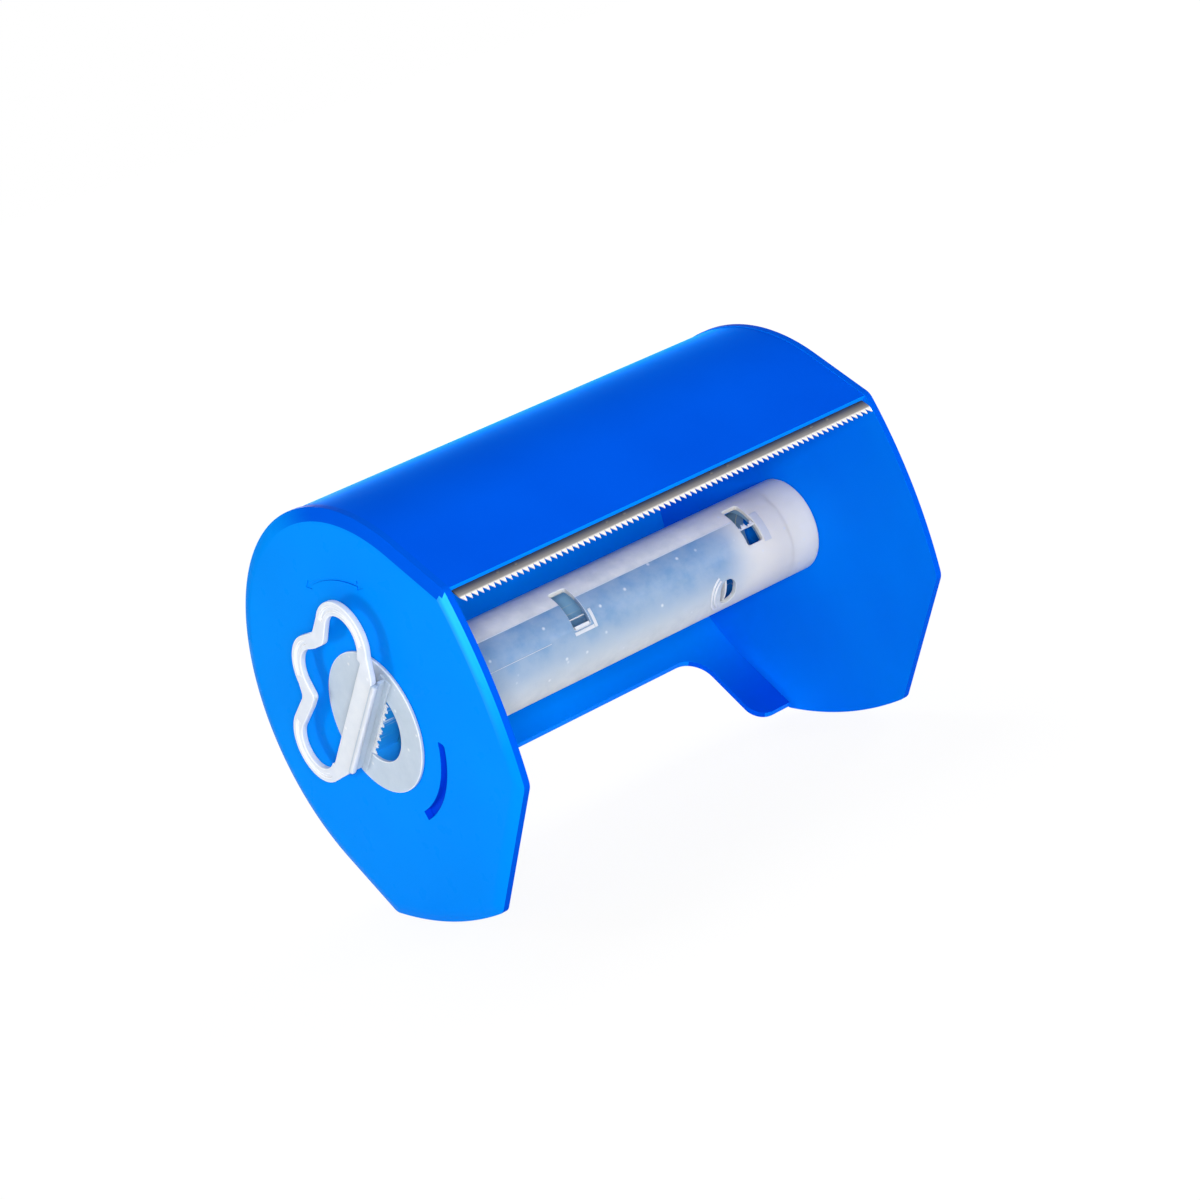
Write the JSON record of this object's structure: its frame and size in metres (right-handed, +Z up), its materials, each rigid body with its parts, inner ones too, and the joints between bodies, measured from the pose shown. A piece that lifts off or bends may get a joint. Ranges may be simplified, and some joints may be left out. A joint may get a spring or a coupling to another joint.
{
  "type": "masking film dispenser",
  "caption": "Hand-held masking film dispenser: arched blue housing with a toothed steel cutter and a draw-out spindle tube with a folding pull ring.",
  "frame": {"origin": "on the spindle's axis, midway between the inner faces of the two end plates", "axes": "+X along the spindle, from the locking end to the plain end; -Y towards the open mouth; +Z up, as it lies on the rear edges of its plates"},
  "size_m": [0.1645, 0.1239, 0.1237],
  "materials": {
    "blue_plastic": "satin moulded",
    "natural_plastic": "milky translucent",
    "blade_steel": "stamped strip"
  },
  "bodies": {
    "housing": {"roof": "blue_plastic", "left_end_plate": "blue_plastic", "right_end_plate": "blue_plastic", "cutter_blade": "blade_steel", "blade_rivets": "blue_plastic"},
    "bush": {"end_bush": "natural_plastic"},
    "spindle": {"spindle_tube": "natural_plastic", "lock_cap": "natural_plastic"},
    "ring": {"pull_ring": "natural_plastic"}
  },
  "joints": [
    {"name": "spindle_draw", "type": "slide", "parent": "housing", "child": "bush", "axis": [-1, 0, 0], "range_m": [0, 0.305]},
    {"name": "spindle_twist", "type": "hinge", "parent": "bush", "child": "spindle", "pos_m": [0, 0, 0], "axis": [1, 0, 0], "range_deg": [0, 90]},
    {"name": "ring_fold", "type": "hinge", "parent": "spindle", "child": "ring", "pos_m": [-0.08385, 0, 0], "axis": [0, -0.7337, 0.6794], "range_deg": [0, 90]}
  ]
}
